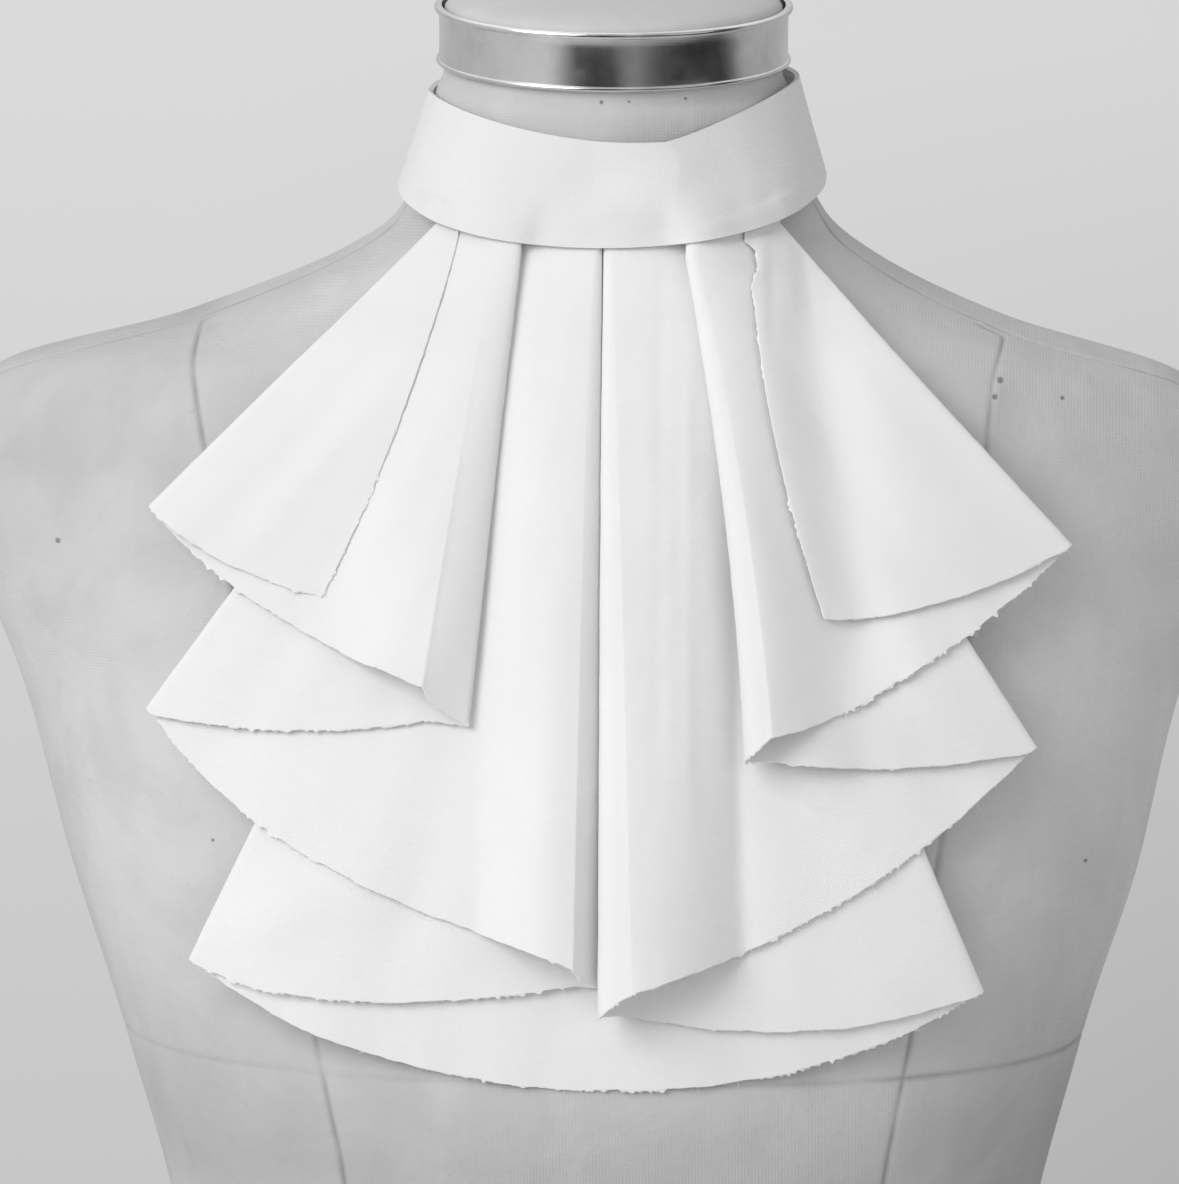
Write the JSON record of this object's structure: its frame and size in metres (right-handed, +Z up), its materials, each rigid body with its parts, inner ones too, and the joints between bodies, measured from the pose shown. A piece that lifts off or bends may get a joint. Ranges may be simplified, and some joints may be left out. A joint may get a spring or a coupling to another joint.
{
  "type": "jabot collar on a dress form",
  "caption": "White cotton jabot collar: a neck band with a pleated circular-cut flounce, worn by a limbless canvas dress form with a metal neck ring.",
  "frame": {"origin": "on the underside of the base board, below the middle of the whole object's width and depth", "axes": "+Z up; the collar's front faces -Y; +X is to the right of someone who looks at that front"},
  "size_m": [0.3778, 0.2581, 0.6547],
  "materials": {
    "white_cotton": "matte plain weave with a raw hem",
    "grey_canvas": "matte canvas stretched smooth",
    "polished_steel": "polished",
    "grey_enamel": "satin",
    "pale_wood": "satin"
  },
  "bodies": {
    "root": {"jabot_flounce": "white_cotton", "neck_band": "white_cotton", "form_torso": "grey_canvas", "neck_ring": "polished_steel", "neck_cap": "grey_enamel", "base_board": "pale_wood"}
  },
  "joints": []
}
